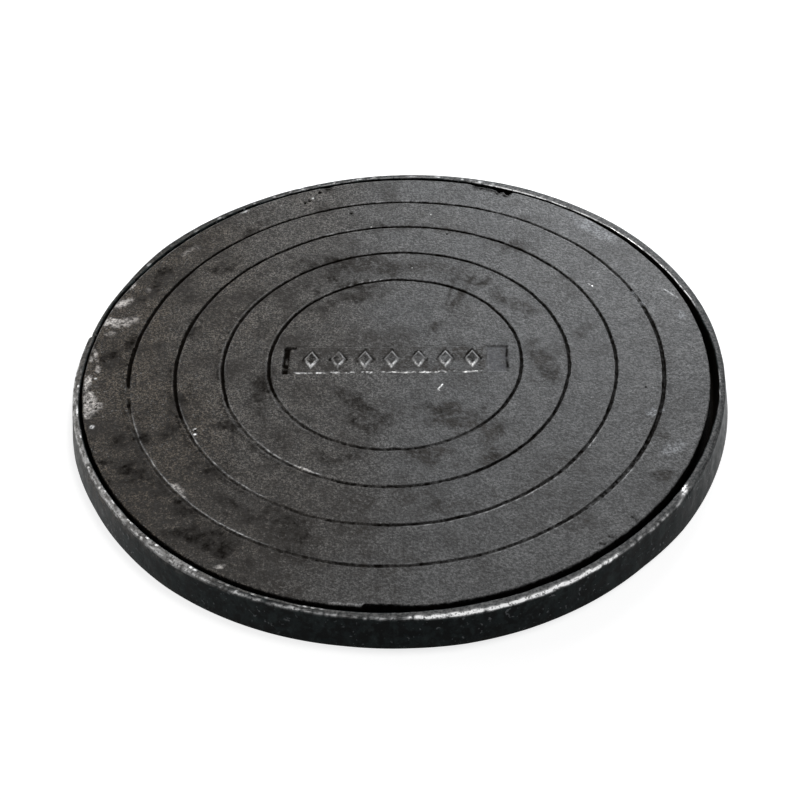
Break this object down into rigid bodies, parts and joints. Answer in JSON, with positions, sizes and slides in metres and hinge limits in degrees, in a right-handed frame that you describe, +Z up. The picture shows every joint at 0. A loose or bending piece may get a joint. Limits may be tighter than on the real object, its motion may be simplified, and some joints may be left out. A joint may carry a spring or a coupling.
{
  "type": "grease trap cover",
  "caption": "Round cast-iron grease trap cover with ring grooves and a studded panel, lying in its slim flared frame ring.",
  "frame": {"origin": "centre of the frame ring's base face, on the ring's axis", "axes": "+Z up along the ring's axis, out of the cover's face; +X to the right along the panel's row of studs, within a few degrees; +Y away from someone reading the panel"},
  "size_m": [0.6339, 0.634, 0.0352],
  "materials": {
    "ring_iron": "black dipped, rough cast, with bare worn edges",
    "cover_iron": "dark grey as-cast skin, sand grain, dull"
  },
  "bodies": {
    "root": {"frame_ring": "ring_iron", "cover": "cover_iron"}
  },
  "joints": []
}
